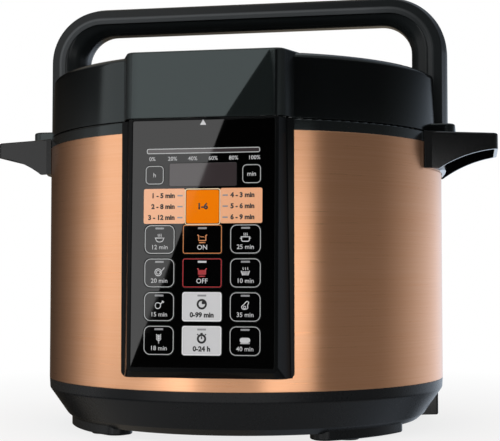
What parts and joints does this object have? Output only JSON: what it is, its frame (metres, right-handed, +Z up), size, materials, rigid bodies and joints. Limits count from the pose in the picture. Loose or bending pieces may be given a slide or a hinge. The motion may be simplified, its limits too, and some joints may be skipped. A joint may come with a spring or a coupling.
{
  "type": "electric pressure cooker",
  "caption": "Round countertop electric pressure cooker with a turning bayonet lid, arched carry handle, side handles, inner pot and front key panel.",
  "frame": {"origin": "on the body's axis at the level of the feet's soles", "axes": "+Z up, control panel facing -Y, side handles along X"},
  "size_m": [0.3704, 0.2956, 0.312],
  "materials": {
    "black_plastic": "satin moulded plastic",
    "gloss_black": "glossy moulded plastic",
    "panel_grey": "fine satin plastic",
    "copper_steel": "copper-coloured brushed steel",
    "rubber_black": "rubber",
    "steel": "brushed steel",
    "screw_steel": "plated steel",
    "pot_coating": "dark coated pot",
    "cast_aluminium": "cast aluminium",
    "silicone": "translucent silicone",
    "smoked_window": "smoked plastic",
    "board_green": "circuit board",
    "component_black": "moulded component",
    "key_black": "glossy key",
    "key_grey": "light grey key",
    "key_orange": "orange key",
    "brass_blade": "brass"
  },
  "bodies": {
    "base": {"base_tray": "black_plastic", "bottom_cover": "black_plastic", "rubber_feet": "rubber_black", "cover_screws": "screw_steel", "outer_shell": "copper_steel", "upper_ring": "black_plastic", "side_handle_left": "black_plastic", "side_handle_right": "black_plastic", "side_handle_screws": "screw_steel", "panel_housing": "panel_grey", "panel_overlay": "gloss_black", "display_window": "smoked_window", "display_module": "component_black", "status_bar": "smoked_window", "control_board": "board_green", "board_screws": "screw_steel", "tact_switches": "component_black", "outer_pot": "steel", "inner_pot": "pot_coating", "heating_plate": "cast_aluminium", "heating_element": "steel", "sensor_spring": "steel", "sensor_holder": "steel", "pressure_switch": "component_black", "thermal_fuse": "component_black", "heat_shield": "cast_aluminium", "power_board": "board_green", "power_board_screws": "screw_steel", "mains_inlet": "black_plastic", "inlet_blades": "brass_blade"},
    "seal": {"sealing_ring": "silicone", "seal_rack": "steel"},
    "lid": {"lid_cover": "gloss_black", "lid_closing_ring": "black_plastic", "lid_plate": "steel", "lid_screws": "screw_steel", "exhaust_pipe": "steel", "pipe_nut": "steel", "blockage_cap": "steel", "carry_handle": "black_plastic", "carry_handle_screws": "screw_steel"},
    "regulator": {"pressure_regulator": "black_plastic"},
    "float": {"float_valve": "steel", "float_seal": "silicone"},
    "sensor": {"temperature_sensor": "cast_aluminium"},
    "key_hour": {"key_hour": "key_black"},
    "key_minute": {"key_minute": "key_black"},
    "key_start": {"key_start": "key_orange"},
    "key_1_left": {"key_1_left": "key_black"},
    "key_1_centre": {"key_1_centre": "key_black"},
    "key_1_right": {"key_1_right": "key_black"},
    "key_2_left": {"key_2_left": "key_black"},
    "key_2_centre": {"key_2_centre": "key_black"},
    "key_2_right": {"key_2_right": "key_black"},
    "key_3_left": {"key_3_left": "key_black"},
    "key_3_centre": {"key_3_centre": "key_grey"},
    "key_3_right": {"key_3_right": "key_black"},
    "key_4_left": {"key_4_left": "key_black"},
    "key_4_centre": {"key_4_centre": "key_grey"},
    "key_4_right": {"key_4_right": "key_black"}
  },
  "joints": [
    {"name": "lid_lift", "type": "slide", "parent": "base", "child": "seal", "axis": [0, 0, 1], "range_m": [0, 0.12]},
    {"name": "lid_turn", "type": "hinge", "parent": "seal", "child": "lid", "pos_m": [0, 0, 0.21], "axis": [0, 0, 1], "range_deg": [0, 22.5]},
    {"name": "regulator_turn", "type": "hinge", "parent": "lid", "child": "regulator", "pos_m": [0, 0.04, 0.255], "axis": [0, 0, 1], "range_deg": [0, 40]},
    {"name": "float_rise", "type": "slide", "parent": "lid", "child": "float", "axis": [0, 0, 1], "range_m": [0, 0.004]},
    {"name": "sensor_press", "type": "slide", "parent": "base", "child": "sensor", "axis": [0, 0, -1], "range_m": [0, 0.002], "stiffness_N_per_m": 400, "springref_m": -0.004, "deforming": ["sensor_spring"]},
    {"name": "key_hour_press", "type": "slide", "parent": "base", "child": "key_hour", "axis": [0, 0.9997, -0.0261], "range_m": [0, 0.0006], "stiffness_N_per_m": 800, "springref_m": -0.0005},
    {"name": "key_minute_press", "type": "slide", "parent": "base", "child": "key_minute", "axis": [0, 0.9997, -0.0261], "range_m": [0, 0.0006], "stiffness_N_per_m": 800, "springref_m": -0.0005},
    {"name": "key_start_press", "type": "slide", "parent": "base", "child": "key_start", "axis": [0, 0.9997, -0.0261], "range_m": [0, 0.0006], "stiffness_N_per_m": 800, "springref_m": -0.0005},
    {"name": "key_1_left_press", "type": "slide", "parent": "base", "child": "key_1_left", "axis": [0, 0.9997, -0.0261], "range_m": [0, 0.0006], "stiffness_N_per_m": 800, "springref_m": -0.0005},
    {"name": "key_1_centre_press", "type": "slide", "parent": "base", "child": "key_1_centre", "axis": [0, 0.9997, -0.0261], "range_m": [0, 0.0006], "stiffness_N_per_m": 800, "springref_m": -0.0005},
    {"name": "key_1_right_press", "type": "slide", "parent": "base", "child": "key_1_right", "axis": [0, 0.9997, -0.0261], "range_m": [0, 0.0006], "stiffness_N_per_m": 800, "springref_m": -0.0005},
    {"name": "key_2_left_press", "type": "slide", "parent": "base", "child": "key_2_left", "axis": [0, 0.9997, -0.0261], "range_m": [0, 0.0006], "stiffness_N_per_m": 800, "springref_m": -0.0005},
    {"name": "key_2_centre_press", "type": "slide", "parent": "base", "child": "key_2_centre", "axis": [0, 0.9997, -0.0261], "range_m": [0, 0.0006], "stiffness_N_per_m": 800, "springref_m": -0.0005},
    {"name": "key_2_right_press", "type": "slide", "parent": "base", "child": "key_2_right", "axis": [0, 0.9997, -0.0261], "range_m": [0, 0.0006], "stiffness_N_per_m": 800, "springref_m": -0.0005},
    {"name": "key_3_left_press", "type": "slide", "parent": "base", "child": "key_3_left", "axis": [0, 0.9997, -0.0261], "range_m": [0, 0.0006], "stiffness_N_per_m": 800, "springref_m": -0.0005},
    {"name": "key_3_centre_press", "type": "slide", "parent": "base", "child": "key_3_centre", "axis": [0, 0.9997, -0.0261], "range_m": [0, 0.0006], "stiffness_N_per_m": 800, "springref_m": -0.0005},
    {"name": "key_3_right_press", "type": "slide", "parent": "base", "child": "key_3_right", "axis": [0, 0.9997, -0.0261], "range_m": [0, 0.0006], "stiffness_N_per_m": 800, "springref_m": -0.0005},
    {"name": "key_4_left_press", "type": "slide", "parent": "base", "child": "key_4_left", "axis": [0, 0.9997, -0.0261], "range_m": [0, 0.0006], "stiffness_N_per_m": 800, "springref_m": -0.0005},
    {"name": "key_4_centre_press", "type": "slide", "parent": "base", "child": "key_4_centre", "axis": [0, 0.9997, -0.0261], "range_m": [0, 0.0006], "stiffness_N_per_m": 800, "springref_m": -0.0005},
    {"name": "key_4_right_press", "type": "slide", "parent": "base", "child": "key_4_right", "axis": [0, 0.9997, -0.0261], "range_m": [0, 0.0006], "stiffness_N_per_m": 800, "springref_m": -0.0005}
  ]
}
